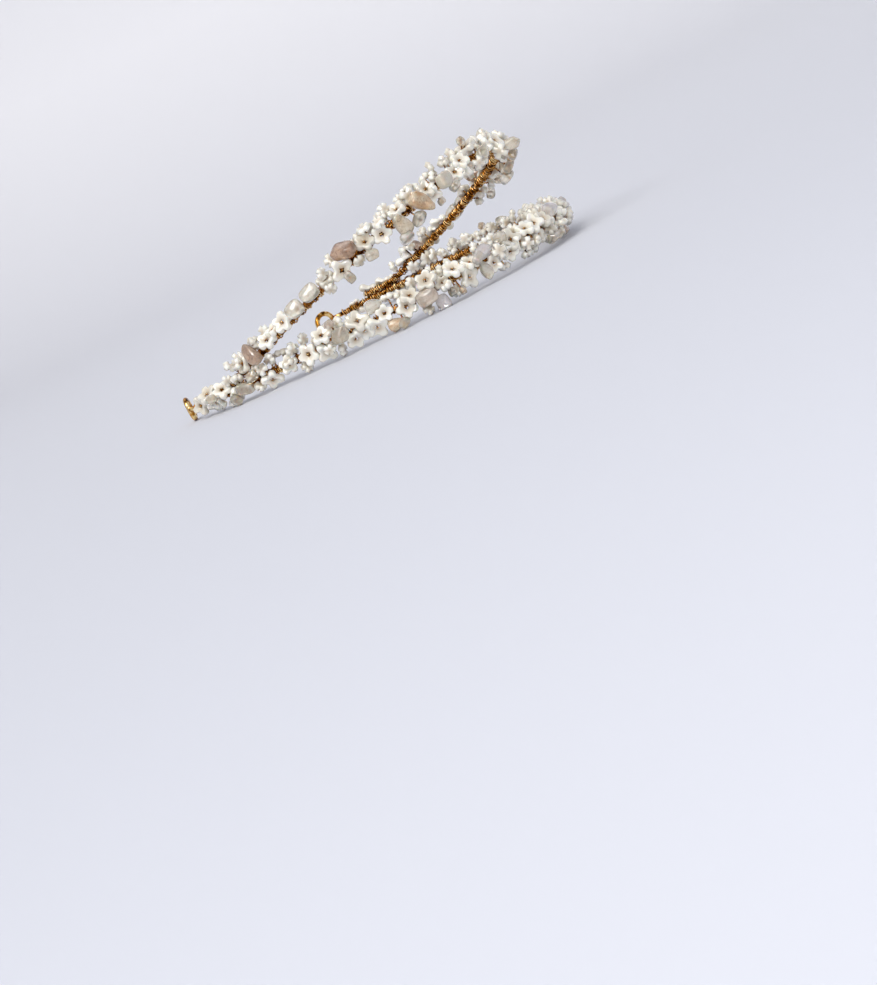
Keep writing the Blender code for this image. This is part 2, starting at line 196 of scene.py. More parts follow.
def colour(hexCode):
    # sRGB hex to linear
    parts = [int(hexCode[place:place + 2], 16) / 255 for place in (1, 3, 5)]
    return [part / 12.92 if part <= 0.04045 else ((part + 0.055) / 1.055) ** 2.4 for part in parts] + [1.0]


def setInputs(node, inputs):
    for name, value in inputs.items():
        if isinstance(value, bpy.types.NodeSocket):
            node.id_data.links.new(value, node.inputs[name])
        else:
            node.inputs[name].default_value = value


def addNode(tree, kind, output, inputs=None, settings=None, hexCodes=()):
    # gives back the new node's output; the hex codes are the even steps of a colour ramp
    node = tree.nodes.new("ShaderNode" + kind)
    for name, value in (settings or {}).items():
        setattr(node, name, value)
    setInputs(node, inputs or {})
    for number, hexCode in enumerate(hexCodes):
        steps = node.color_ramp.elements
        if 0 < number < len(hexCodes) - 1:
            steps.new(number / (len(hexCodes) - 1))
        steps[number].color = colour(hexCode)
    return node.outputs[output]


def startMaterial(name):
    # the material, its shader, what adds a node to it, and the place on the piece
    material = bpy.data.materials.new(name)
    material.use_nodes = True
    add = partial(addNode, material.node_tree)
    return material, material.node_tree.nodes["Principled BSDF"], add, add("TexCoord", "Object")


# What goes into a noise, a range and a bump

def patches(where, size, detail, bend=0.0):
    return {"Vector": where, "Scale": 1 / (size * mm), "Detail": detail, "Distortion": bend}


def ranging(height, low, high, most=1.0):
    return {"Value": height, "From Min": low, "From Max": high, "To Max": most}


def denting(height, strength, depth):
    return {"Height": height, "Strength": strength, "Distance": depth * mm}


# The sockets of a colour Mix node share their names, so they go by number
mixShare, mixFirst, mixSecond, mixResult = 0, 6, 7, 2
colourMix = {"data_type": "RGBA"}
colourMultiply = {"data_type": "RGBA", "blend_type": "MULTIPLY"}


def tintOver(add, base, tints):
    for share, tint in tints:
        base = add("Mix", mixResult, {mixShare: share, mixFirst: base, mixSecond: colour(tint)}, colourMix)
    return base


def paintCreaseShade(add, base, reach, depth, hexCodes):
    # painted shade: the colour is darkened where pieces stand close together, in the creases where shade
    # falls
    nearby = add("AmbientOcclusion", "AO", {"Distance": reach * mm})
    shade = add("ValToRGB", "Color", {"Fac": nearby}, hexCodes=hexCodes)
    return add("Mix", mixResult, {mixShare: depth, mixFirst: base, mixSecond: shade}, colourMultiply)


def glossOverGlow(look):
    # what shell and stone share: a hard gloss over a body that light travels into, red the furthest
    return {
        "Roughness": look["roughness"],
        "IOR": look["ior"],
        "Subsurface Weight": look["glow"],
        "Subsurface Radius": (1.0, 0.85, 0.7),
        "Subsurface Scale": look["glowReach"] * mm,
        "Coat Weight": look["coat"],
        "Coat Roughness": look["coatRoughness"],
    }


goldLook = {
    "bright": "#FFE4A2",
    "middle": "#C6872F",
    "deep": "#3C1A08",
    "tarnish": (2.0, 2.0),       # mm across a patch of darker wire, and its detail
    "tarnishRange": (0.34, 0.6),
    "creaseShade": (0.8, 0.9),       # painted shade: mm, how close the neighbouring turns darken each other, and how much
    "scratches": (1 / 6, 1.0),
    "dents": (0.12, 0.05),       # strength, and depth in mm
    "roughness": 0.2,
}


def goldPlatedWire():
    # gold plating over drawn copper: bright where it faces the light, with painted brown shade between the
    # turns
    look = goldLook
    material, shader, add, where = startMaterial("goldPlatedCopperWire")
    height = add("TexNoise", "Fac", patches(where, *look["tarnish"]))
    spread = add("MapRange", "Result", ranging(height, *look["tarnishRange"]))
    tints = (look["deep"], look["middle"], look["bright"])
    creaseShadeTints = (look["deep"], look["middle"], "#FFFFFF")
    tarnish = add("ValToRGB", "Color", {"Fac": spread}, hexCodes=tints)
    scratches = add("TexNoise", "Fac", patches(where, *look["scratches"]))
    finish = {
        # painted shade: the colour turns dark brown between the turns and where wires stand close
        "Base Color": paintCreaseShade(add, tarnish, *look["creaseShade"], creaseShadeTints),
        "Normal": add("Bump", "Normal", denting(scratches, *look["dents"])),
        "Metallic": 1.0,
        "Roughness": look["roughness"],
    }
    setInputs(shader, finish)
    return material


shellLook = {
    "white": "#FAF6EA",
    "ivory": "#F1E7CC",
    "grey": "#D6D0C0",
    "toneRange": (-0.9, 0.8),    # how grey each flower is; below zero it stays white
    "heartShade": "#B89C6C",          # painted shade: the colour of what shows through the thin middle
    "heartShadeDepth": 0.6,
    "clouds": (2.2, 3.0),        # mm across a cloud of warmer or greyer shell, and its detail
    "creaseShadeTint": "#BEA272",
    "creaseShade": (1.2, 0.5),       # painted shade: mm, how close neighbours shade each other, and how much
    "grain": (0.9, 2.0),
    "dents": (0.3, 0.15),        # strength, and depth in mm
    "roughness": 0.12,
    "ior": 1.55,
    "glow": 0.45,                # share of the light that travels inside
    "glowReach": 0.8,            # mm
    "coat": 1.0,
    "coatRoughness": 0.06,
    "coatIor": 1.8,              # a pearly surface throws back more light than plain varnish
}


def polishedShell():
    # mother of pearl, moulded and polished: glossy, a little see-through, with soft warm and grey clouds
    look = shellLook
    material, shader, add, where = startMaterial("polishedWhiteShell")
    clouds = add("TexNoise", "Fac", patches(where, *look["clouds"]))
    tints = (look["ivory"], look["white"], look["white"])
    base = add("ValToRGB", "Color", {"Fac": clouds}, hexCodes=tints)
    names = ("tone", "heartShade")
    tone, heartShade = [add("Attribute", "Fac", settings={"attribute_name": name}) for name in names]
    heartShade = add("Math", 0, {0: heartShade, 1: look["heartShadeDepth"]}, {"operation": "MULTIPLY"})
    # painted shade: each flower's thin middle turns warm brown; the grey tone is the shell's own
    base = tintOver(add, base, ((tone, look["grey"]), (heartShade, look["heartShade"])))
    grain = add("TexNoise", "Fac", patches(where, *look["grain"]))
    finish = {
        # painted shade: a warm tan where neighbouring flowers stand close
        "Base Color": paintCreaseShade(add, base, *look["creaseShade"], (look["creaseShadeTint"], "#FFFFFF", "#FFFFFF")),
        "Normal": add("Bump", "Normal", denting(grain, *look["dents"])),
        "Coat IOR": look["coatIor"],
        **glossOverGlow(look),
    }
    setInputs(shader, finish)
    return material


# Each quartz: its two body colours, the colour of its veins, and how much light passes through
quartzLooks = {
    "clear": ("#FFFAEA", "#F8EFDC", "#CDB28C", 0.78),
    "rose": ("#E2C2A4", "#B28C6E", "#6E4832", 0.60),
    "peach": ("#FFEDCE", "#E8C290", "#94643A", 0.56),
    "lavender": ("#FFFAF2", "#F2EAE8", "#CEC3CC", 0.68),
    "smoky": ("#FFF5E0", "#EEDDBE", "#927452", 0.60),
}
quartzGrain = {
    "pale": "#FBF4E5",           # the stones with little colour of their own
    "clouds": (2.6, 4.0),        # mm across, and detail
    "cloudRange": (0.36, 0.6),
    "veins": (1.3, 5.0, 1.5),    # mm across, detail, and how far they bend
    "veinRange": (0.5, 0.68),
    "veinShare": 0.6,
    "veinFade": 0.5,             # how much of that a pale stone loses
    "specks": (0.45, 2.0),       # mm across, and detail
    "speckRange": (0.64, 0.72, 0.3),
    "dents": (0.35, 0.4),        # strength, and depth in mm
    "glow": 0.7,                 # the milky part of the stone carries light inside
    "glowReach": 1.2,            # mm
    "roughness": 0.06,
    "ior": 1.544,
    "coat": 0.9,
    "coatRoughness": 0.02,
}


def tumbledQuartz(sort):
    # tumbled quartz: wet-looking polish over a cloudy body with fine darker veins and specks
    look = quartzGrain
    light, dark, vein, clearness = quartzLooks[sort]
    material, shader, add, where = startMaterial(f"tumbled_{sort}_quartz")
    paleness = add("Attribute", "Fac", settings={"attribute_name": "paleness"})
    fading = {0: paleness, 1: -look["veinFade"], 2: look["veinShare"]}
    mostVein = add("Math", 0, fading, {"operation": "MULTIPLY_ADD"})
    clouds, veins, specks = [
        add("TexNoise", "Fac", patches(where, *look[name])) for name in ("clouds", "veins", "specks")
    ]
    spread = add("MapRange", "Result", ranging(clouds, *look["cloudRange"]))
    thin = add("MapRange", "Result", ranging(veins, *look["veinRange"], mostVein))
    rare = add("MapRange", "Result", ranging(specks, *look["speckRange"]))
    body = add("ValToRGB", "Color", {"Fac": spread}, hexCodes=(dark, light))
    finish = {
        "Base Color": tintOver(add, body, ((paleness, look["pale"]), (thin, vein), (rare, vein))),
        "Normal": add("Bump", "Normal", denting(clouds, *look["dents"])),
        "Transmission Weight": clearness,
        **glossOverGlow(look),
    }
    setInputs(shader, finish)
    return material


gold = goldPlatedWire()
shell = polishedShell()
quartz = {sort: tumbledQuartz(sort) for sort in quartzLooks}
print("materials made:", 2 + len(quartz))


# The two wires' routes, as the part's source has them

bandWire = {"halfWidth": 62.0, "depth": 83.5, "sweep": 119.0, "steps": 120}
archWire = {
    "footAngle": 99.0,
    "sweep": 100.5,
    "setback": 9.4,
    "height": 30.5,
    "lift": 2.3,             # the feet run above the band wire
    "tail": 13.0,
    "steps": 110,
    "tailSteps": 6,
    "softening": 4,
}
restPose = {"lean": 1.5, "height": 5.527, "rodRadius": 0.96}
lookAhead = 0.5      # mm each way, for a wire's direction at a place


def evenShares(count):
    return [2 * step / count - 1 for step in range(count + 1)]


def bandAxis(angle):
    return Vector((-bandWire["halfWidth"] * sin(angle), -bandWire["depth"] * cos(angle), 0.0))


def makeRoute(points):
    # places are counted along the wire from the front middle, positive on the wearer's right
    places = [0.0]
    for before, after in zip(points, points[1:]):
        places.append(places[-1] + (after - before).length)
    reach = places[-1] / 2
    return {"points": points, "places": [place - reach for place in places], "reach": reach}


def makeArchRoute():
    foot = bandAxis(radians(archWire["footAngle"]))
    front = archWire["setback"] - bandWire["depth"]
    sweep = radians(archWire["sweep"])
    planDepth = (foot.y - front) / (1 - cos(sweep))
    planHalfWidth = abs(foot.x) / sin(sweep)
    points = []
    for share in evenShares(archWire["steps"]):
        y = front + planDepth * (1 - cos(sweep * share))
        rise = (foot.y - y) / (foot.y - front)
        height = archWire["lift"] + (archWire["height"] - archWire["lift"]) * rise
        points.append(Vector((-planHalfWidth * sin(sweep * share), y, height)))
    tail = []
    for step in range(1, archWire["tailSteps"] + 1):
        further = archWire["tail"] / bandWire["depth"] * step / archWire["tailSteps"]
        tail.append(bandAxis(radians(archWire["footAngle"]) + further) + Vector((0, 0, archWire["lift"])))
    points = [Vector((-point.x, point.y, point.z)) for point in reversed(tail)] + points + tail
    for _ in range(archWire["softening"]):
        neighbours = zip(points, points[1:], points[2:])
        inner = [(before + here * 2 + after) / 4 for before, here, after in neighbours]
        points = [points[0]] + inner + [points[-1]]
    return makeRoute(points)


def routePoint(route, place):
    index = min(max(bisect_left(route["places"], place), 1), len(route["places"]) - 1)
    before, after = route["places"][index - 1], route["places"][index]
    return route["points"][index - 1].lerp(route["points"][index], (place - before) / (after - before))


def routeFrame(route, place, around):
    # the axis point, the wire's direction, and the way off the wire: 0 is outward and 90 is up
    ahead = (routePoint(route, place + lookAhead) - routePoint(route, place - lookAhead)).normalized()
    here = routePoint(route, place)
    outward = Vector((ahead.y, -ahead.x, 0.0)).normalized()
    if outward.dot(here) < 0:
        outward.negate()
    upward = ahead.cross(outward)
    if upward.z < 0:
        upward.negate()
    return here, ahead, outward * cos(radians(around)) + upward * sin(radians(around))


bandSweep = radians(bandWire["sweep"])
band = makeRoute([bandAxis(bandSweep * share) for share in evenShares(bandWire["steps"])])
arch = makeArchRoute()
lean = Matrix.Translation((0, 0, restPose["height"])) @ turned(-restPose["lean"], "X")
frontOfArch = min((lean @ point).y for point in arch["points"])
# the part's box is centred on the origin, and its arch tells how far that moved it
frameShift = (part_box("arch_frame")[0].y / mm + restPose["rodRadius"]) - frontOfArch
rest = Matrix.Scale(mm, 4) @ Matrix.Translation((0, frameShift, 0)) @ lean


def seat(route, along, around, reach, turn):
    # where a bead sits: x along the wire, y around it, z away from it
    here, ahead, away = routeFrame(route, along, around)
    axes = Matrix((ahead, away.cross(ahead), away)).transposed().to_4x4()
    return rest @ Matrix.Translation(here + away * reach) @ axes @ turned(turn, "Z")


# Wires: a path in space can't be extruded by hand, so each is a curve with a round section, made a mesh

floorRoom = 1.3      # radii from a wire's axis to the floor


def drawWire(name, paths, radius, resolution=0):
    curve = bpy.data.curves.new(name, "CURVE")
    curve.dimensions = "3D"
    curve.bevel_depth = radius * mm
    curve.bevel_resolution = resolution
    curve.use_fill_caps = True
    for path in paths:
        line = curve.splines.new("POLY")
        line.points.add(len(path) - 1)
        for spot, point in zip(line.points, path):
            place = rest @ point
            place.z = max(place.z, floorRoom * radius * mm)
            spot.co = (*place, 1.0)
    wire = bpy.data.objects.new(name, curve)
    bpy.context.scene.collection.objects.link(wire)
    takeHold(wire)
    bpy.ops.object.convert(target="MESH")
    wire = bpy.context.object
    bpy.ops.object.shade_smooth()
    editAll(wire)
    bpy.ops.mesh.remove_doubles(threshold=weld)
    finishEdit()
    return wire


windings = {
    "coreRadius": 0.62,
    "coreSteps": 140,
    "rodResolution": 2,
    "wireRadius": 0.17,          # the close winding on the core
    "pressed": 0.9,              # how far out its axis lies, in its own radii
    "pitch": 0.42,
    "stepsPerTurn": 7,
    "wrapRadius": 0.24,          # the wraps that tie the beads on, over the winding
    "wrapPitch": 0.85,
    "wrapSteps": 9,
    "wrapUneven": 0.16,
    "crossPitch": 3.1,           # a few wraps run back the other way
    "crossSteps": 18,
    "knotEvery": (2.2, 4.4),     # where the wraps pile up
    "knotHalf": 1.1,
    "knotRise": 0.55,
    "plainEnd": 4.5,             # the band's bare rod, before its loop
    "plainRadius": 0.85,
    "tuckedEnd": 0.6,            # the arch is wound nearly to its ends
}


def helix(route, first, last, pitch, steps, radius, uneven=0.0, knots=()):
    # a winding round the wire; uneven lets its pitch and radius wander, and it rises over the knots
    path = []
    count = round(abs(last - first) / pitch * steps)
    for step in range(count + 1):
        if step % steps == 0:
            swell = whim.uniform(-uneven, uneven)
            slip = whim.uniform(-uneven, uneven)
        place = first + (last - first) * step / count + slip * pitch
        here, _, away = routeFrame(route, place, 360 * step / steps)
        path.append(here + away * (radius + max(swell, 0.0) + knotRiseAt(knots, place)))
    return path


def knotPlaces(reach):
    places = [-reach]
    while places[-1] < reach:
        places.append(places[-1] + whim.uniform(*windings["knotEvery"]))
    return places


def knotRiseAt(knots, place):
    if not knots:
        return 0.0
    index = bisect_left(knots, place)
    nearest = min(abs(place - knot) for knot in knots[max(index - 1, 0):index + 1])
    return windings["knotRise"] * max(0.0, 1 - (nearest / windings["knotHalf"]) ** 2)


def windWire(name, route, endMargin):
    w = windings
    reach = route["reach"] - endMargin
    core = [routePoint(route, route["reach"] * share) for share in evenShares(w["coreSteps"])]
    on = w["coreRadius"] + w["wireRadius"] * w["pressed"]
    over = w["coreRadius"] + 2 * w["wireRadius"]
    close = helix(route, -reach, reach, w["pitch"], w["stepsPerTurn"], on)
    knots = knotPlaces(reach)
    wraps = helix(route, -reach, reach, w["wrapPitch"], w["wrapSteps"], over, w["wrapUneven"], knots)
    cross = helix(route, reach, -reach, w["crossPitch"], w["crossSteps"], over, w["wrapUneven"], knots)
    shapes = [
        drawWire(name + "Core", [core], w["coreRadius"], w["rodResolution"]),
        drawWire(name + "Close", [close], w["wireRadius"]),
        drawWire(name + "Wraps", [wraps, cross], w["wrapRadius"]),
    ]
    if endMargin > w["tuckedEnd"]:
        ends = [[routePoint(route, side * place) for place in (reach, route["reach"])] for side in (-1, 1)]
        shapes.append(drawWire(name + "Ends", ends, w["plainRadius"], w["rodResolution"]))
    return shapes


loopRing = {"outerRadius": 4.4, "tubeRadius": 0.95, "heading": 58.5, "sides": 40, "tubeSides": 14}


def bendLoop(side):
    # the plain ring at each end, into which a ribbon or pin goes
    ring = loopRing
    bend = ring["outerRadius"] - ring["tubeRadius"]
    end = routePoint(band, -side * band["reach"])
    heading = Vector((-side * sin(radians(ring["heading"])), cos(radians(ring["heading"])), 0))
    leaveAll()
    bpy.ops.mesh.primitive_torus_add(
        major_segments=ring["sides"],
        minor_segments=ring["tubeSides"],
        major_radius=bend,
        minor_radius=ring["tubeRadius"],
    )
    loop = bpy.context.object
    bpy.ops.object.shade_smooth()
    stand = Matrix((heading, Vector((0, 0, 1)), heading.cross(Vector((0, 0, 1))))).transposed().to_4x4()
    loop.data.transform(rest @ Matrix.Translation(end + heading * bend) @ stand)
    keepOffFloor(loop)
    return loop


bandShapes = windWire("bandWire", band, windings["plainEnd"])
bandFrame = joinShapes("woundBandWire", bandShapes + [bendLoop(-1), bendLoop(1)])
settle(bandFrame, gold, "gold_wire", "band_frame")
archFrame = joinShapes("woundArchWire", windWire("archWire", arch, windings["tuckedEnd"]))
settle(archFrame, gold, "gold_wire", "arch_frame")
print("wires wound:", len(bandFrame.data.polygons), len(archFrame.data.polygons), "faces")


# Quartz chips: length runs along the wire, breadth around it and depth away from it.
# Columns: name, along, around, length, breadth, depth, turn, sort

mirroredFrom = 26.0      # further from the front middle than this, the left half repeats the right one
mirrorShift = 0.5        # mm each way by which a repeated flower strays
bandChips = (
    ("front_clear_chip", 2.5, -62, 6.2, 5.0, 4.2, 20, "clear"),
    ("high_crystal", 24.5, 62, 4.8, 4.6, 4.6, 10, "clear"),
    ("lilac_chip", 32.5, 45, 6.0, 4.4, 3.8, 15, "lavender"),
    ("leaf_chip", 34.5, -30, 4.0, 8.0, 3.2, 20, "clear"),
    ("pink_pebble", 55.0, -12, 7.4, 5.2, 4.0, 0, "rose"),
    ("lavender_chip", 51.0, -68, 4.8, 4.4, 7.0, 0, "lavender"),
    ("peach_drop", 67.0, -62, 5.6, 4.2, 4.0, 10, "peach"),
    ("cream_chip", 71.0, 70, 6.0, 4.8, 4.0, 0, "clear"),
    ("sparkling_chip", 84.0, 12, 7.0, 5.4, 4.2, 20, "clear"),
    ("pale_chip", 122.5, -10, 7.0, 4.0, 3.4, -15, "clear"),
)
bandChipsLeftFront = (
    ("middle_chip", 3.0, 52, 6.0, 4.6, 4.2, 0, "lavender"),
    ("low_chip", 6.5, -78, 6.0, 4.4, 4.0, 15, "clear"),
    ("brown_rose_chip", 17.5, -88, 6.6, 4.6, 4.4, -10, "rose"),
)
archChips = (
    ("crest_shiny_chip", 5.0, 5, 7.6, 4.4, 4.0, 15, "clear"),
    ("cream_round_chip", 25.5, 5, 5.6, 5.4, 4.6, 0, "peach"),
    ("tan_chip", 36.0, -8, 9.8, 5.6, 4.4, -52, "peach"),
    ("grey_chip", 45.5, -22, 5.2, 8.6, 4.2, 10, "smoky"),
    ("mauve_chip", 64.0, 58, 9.6, 5.6, 4.6, -46, "rose"),
    ("milky_chip", 80.5, 25, 7.0, 5.2, 4.2, 0, "clear"),
    ("milky_chip_low", 87.5, 20, 6.6, 5.6, 4.0, 0, "clear"),
    ("rose_bar", 109.0, 18, 4.8, 9.2, 4.0, 12, "rose"),
)
archChipsLeftFront = (
    ("side_crystal", 18.0, -8, 4.4, 4.2, 7.0, 0, "smoky"),
    ("peach_tip_chip", 27.5, -20, 7.6, 4.4, 4.0, 10, "peach"),
)
chipForm = {"reach": 2.73, "uneven": 0.17, "dents": 0.04, "pebbles": 7, "lowSide": -0.25}
crystalForm = {"uneven": 0.09, "edge": 0.06, "edgeSteps": 2}

# How a stone departs from a round pebble: narrowed towards one side, or cut in flat faces
narrowed = {
    "tan_chip": ("x", 0.30),
    "leaf_chip": ("y", 0.12),
    "peach_tip_chip": ("x", 0.25),
    "peach_drop": ("x", 0.45),
    "grey_chip": ("y", 0.55),
    "cream_chip": ("x", 0.40),
    "rose_bar": ("y", 0.60),
}
cutStones = ("high_crystal", "sparkling_chip", "side_crystal", "crest_shiny_chip", "front_clear_chip")

# Share of pale stone in the chips that have less colour than their kind
palerChips = {
    "pink_pebble": 0.72,
    "cream_round_chip": 0.95,
    "peach_tip_chip": 0.45,
    "brown_rose_chip": 0.30,
    "peach_drop": 0.15,
    "rose_bar": 0.25,
    "side_crystal": 0.60,
}


def modelPebble(number, narrowing=None):
    # a block with knocked corners, tumbled round; it fills a unit cube until it is placed
    leaveAll()
    bpy.ops.mesh.primitive_cube_add(size=1.0)
    pebble = bpy.context.object
    editAll(pebble)
    bpy.ops.mesh.subdivide(number_cuts=1)
    bpy.ops.transform.vertex_random(offset=chipForm["uneven"], seed=number + 1)
    if narrowing:
        side, share = narrowing
        axis = "xyz".index(side)
        shares = [share] * 3
        shares[axis] = 1.0
        pick(pebble, "vertices", lambda vertex: vertex.co[axis] < chipForm["lowSide"])
        stretch(*shares)
    roundOff(pebble, 1)
    editAll(pebble)
    bpy.ops.transform.vertex_random(offset=chipForm["dents"], seed=number + 11)
    roundOff(pebble, 2)
    fillUnit(pebble, 0.5)
    return pebble


def modelCrystal(number):
    # a broken crystal with flat faces that catch the light one by one
    leaveAll()
    bpy.ops.mesh.primitive_ico_sphere_add(subdivisions=1, radius=0.5)
    crystal = bpy.context.object
    editAll(crystal)
    bpy.ops.transform.vertex_random(offset=crystalForm["uneven"], seed=number)
    bpy.ops.mesh.bevel(offset=crystalForm["edge"], segments=crystalForm["edgeSteps"], affect="EDGES")
    bpy.ops.object.mode_set(mode="OBJECT")
    fillUnit(crystal, 0.5)
    return crystal


smallModels = {"pebble": modelPebble(3), "bead": modelPebble(30), "crystal": modelCrystal(9)}
pebbles = {number: modelPebble(number) for number in range(chipForm["pebbles"])}
special = {name: modelPebble(number, side) for number, (name, side) in enumerate(narrowed.items())}
special.update({name: modelCrystal(number) for number, name in enumerate(cutStones)})
stones = []


def fillAttribute(shape, name, value):
    attribute = shape.data.attributes.new(name, "FLOAT", "POINT")
    attribute.data.foreach_set("value", [value] * len(shape.data.vertices))


def layChips(label, side, route, rows):
    direction = 1 if side == "right" else -1
    for name, along, around, length, breadth, depth, turn, sort in rows:
        node = f"{label}_{side}_{name}"
        place = seat(route, direction * along, around, chipForm["reach"] + depth / 2, direction * turn)
        model = special.get(name) or pebbles[whim.randrange(len(pebbles))]
        size = Matrix.Diagonal((direction * length, breadth, depth, 1))
        chip = copyShape(model, node + "Stone", place @ size)
        if direction < 0:
            editAll(chip)
            finishEdit()
        fillAttribute(chip, "paleness", palerChips.get(name, 0.0))
        if min(vertex.co.z for vertex in chip.data.vertices) < 0:
            # the lowest chips are ground flat where they stand
            editAll(chip)
            bpy.ops.mesh.bisect(
                plane_co=(0, 0, 0), plane_no=(0, 0, -1), clear_outer=True, use_fill=True, threshold=weld
            )
            finishEdit()
        stones.append(settle(chip, quartz[sort], sort + "_quartz", node))


for label, route, rows, frontRows in (
    ("band", band, bandChips, bandChipsLeftFront),
    ("arch", arch, archChips, archChipsLeftFront),
):
    layChips(label, "right", route, rows)
    layChips(label, "left", route, frontRows + tuple(row for row in rows if row[1] > mirroredFrom))
print("chips laid:", len(stones))


# Shell flowers: along and around place them on the wire, reach is the distance from the wire's axis.
# Columns: along, around, reach, petals, diameter

bandFlowers = (
    (1.5, 0, 2.4, 5, 6.4),
    (5.6, 35, 4.6, 5, 6.4),
    (9.2, -25, 2.4, 5, 6.6),
    (10.5, 40, 4.6, 4, 6.4),
    (15.0, 42, 4.4, 5, 6.6),
    (18.5, 0, 2.4, 5, 6.6),
    (21.5, 38, 3.4, 4, 6.6),
    (23.5, -30, 2.5, 5, 6.4),
    (27.0, 12, 2.5, 5, 6.0),
    (30.5, -38, 2.8, 5, 6.2),
    (38.0, 40, 3.4, 5, 6.6),
    (40.0, -42, 3.0, 4, 6.6),
    (44.0, 40, 4.6, 5, 7.4),
    (48.5, 12, 2.4, 5, 5.6),
    (53.0, 48, 5.4, 5, 7.5),
    (59.5, 38, 3.2, 5, 7.0),
    (62.0, -15, 2.4, 5, 7.5),
    (69.0, 20, 2.4, 5, 6.0),
    (73.0, -58, 2.7, 4, 7.0),
    (77.0, -30, 2.5, 5, 6.4),
    (77.5, 42, 3.6, 4, 7.0),
    (81.0, -60, 2.7, 5, 7.0),
    (90.0, 48, 5.0, 5, 7.0),
    (91.0, -42, 2.8, 4, 6.6),
    (97.0, 5, 2.4, 5, 7.5),
    (105.0, 0, 2.4, 5, 6.6),
    (113.0, -50, 2.8, 4, 6.5),
    (128.0, -35, 2.6, 4, 5.0),
    (133.0, 38, 3.4, 5, 7.2),
    (138.5, -22, 2.4, 5, 7.0),
    (139.5, 40, 4.2, 5, 7.6),
    (141.5, -72, 2.4, 5, 6.6),
    (146.0, 0, 2.4, 4, 5.8),
)
archFlowers = (
    (2.0, -25, 2.4, 5, 6.2),
    (-1.8, 42, 4.2, 5, 6.6),
    (9.5, 62, 5.4, 5, 7.6),
    (12.5, -5, 2.4, 4, 6.2),
    (15.5, 35, 4.0, 5, 6.6),
    (19.0, 5, 2.4, 5, 6.6),
    (32.0, 30, 3.4, 5, 6.4),
    (30.5, -30, 2.4, 4, 5.6),
    (43.5, 42, 4.0, 5, 6.6),
    (52.0, 0, 2.4, 5, 7.0),
    (57.5, 42, 2.6, 5, 7.0),
    (68.5, 0, 2.5, 4, 7.0),
    (74.5, 40, 2.6, 5, 6.4),
    (94.0, 32, 3.2, 5, 7.4),
    (98.5, 50, 2.8, 4, 5.0),
    (102.5, 30, 2.6, 5, 7.0),
    (115.5, 50, 2.6, 5, 7.2),
)
bandFlowersLeftFront = (
    (9.0, -35, 2.6, 5, 6.6),
    (9.0, 38, 3.6, 5, 6.6),
    (16.0, 20, 2.5, 5, 6.4),
    (20.5, -10, 2.4, 4, 6.4),
)
archFlowersLeftFront = (
    (9.0, 30, 4.0, 5, 6.6),
    (13.0, -5, 2.4, 4, 6.0),
    (17.0, 50, 2.6, 5, 5.0),
    (24.0, 25, 2.5, 5, 6.4),
)
flowerForm = {
    "thick": 2.4,
    "rim": 0.62,             # thickness of a petal's edge, before it is rounded
    "valleyOf": 2.2,         # the rim between two petals is at 1 - 2.2 / petals of the radius
    "valleyThick": 0.58,
    "tip": 1.06,
    "lobe": 0.80,            # where a petal is thickest
    "waist": 0.50,
    "waistThick": 0.42,
    "hole": 0.40,            # share of the waist
    "holeThick": 0.9,
    "heartEdge": 0.62,       # where the thin middle begins, in radii
    "heartFade": 0.4,
    "shoulderAngle": 21,     # half the angle that a petal's blunt end spans
    "facesUp": 0.9,          # how upright a flat face's normal is
    "poleReach": 0.1,        # and how near the axis a pole is
    "dimple": 0.35,          # the middle of a small flower
    "smallThick": 0.45,      # its half thickness, as a share of a main flower's thickness
    "lean": 24,              # most flowers sit a little askew
    "droop": 24,             # those under the wire hang further over
    "droopBelow": -35,
}


def markHeartShade(flower):
    # how near each corner is to the thin middle, where the shell is given painted shade
    heartShade = flower.data.attributes.new("heartShade", "FLOAT", "POINT")
    edge, fade = flowerForm["heartEdge"], flowerForm["heartFade"]
    reach = [vertex.co.xy.length for vertex in flower.data.vertices]
    heartShade.data.foreach_set("value", [min(max((edge - length) / fade, 0.0), 1.0) for length in reach])


def shapePetals(flower, petals, cornerOf, turns):
    # valleys between the petals, and blunt shoulders where each petal's outer corners turn
    valley = 1 - flowerForm["valleyOf"] / petals
    pick(flower, "vertices", lambda vertex: cornerOf(vertex) == 0)
    stretch(valley, valley, flowerForm["valleyThick"])
    for corner, turn in turns:
        pick(flower, "vertices", lambda vertex: cornerOf(vertex) == corner)
        bpy.ops.transform.rotate(value=turn, orient_axis="Z", center_override=(0, 0, 0))


def modelFlower(petals):
    # fat rounded petals round a thin middle with a hole, one millimetre in radius until it is placed
    form = flowerForm
    corners = 4 * petals
    leaveAll()
    bpy.ops.mesh.primitive_cylinder_add(vertices=corners, depth=2 * form["rim"], end_fill_type="NGON")
    flower = bpy.context.object

    def cornerOf(vertex):
        return round(atan2(vertex.co.x, vertex.co.y) / (2 * pi) * corners) % 4

    slide = radians(form["shoulderAngle"] - 360 / corners)
    shapePetals(flower, petals, cornerOf, ((1, -slide), (3, slide)))
    pick(flower, "vertices", lambda vertex: cornerOf(vertex) == 2)
    stretch(form["tip"], form["tip"], 1.0)
    pick(flower, "polygons", lambda face: abs(face.normal.z) > form["facesUp"])
    rings = (
        (form["lobe"], 1 / form["rim"]),
        (form["waist"] / form["lobe"], form["waistThick"]),
        (form["hole"], form["holeThick"]),
    )
    for across, deep in rings:
        bpy.ops.mesh.extrude_region()
        stretch(across, across, deep)
    bpy.ops.mesh.bridge_edge_loops()
    finishEdit()
    roundOff(flower, 1)
    fillUnit(flower, 1.0)
    markHeartShade(flower)
    return flower


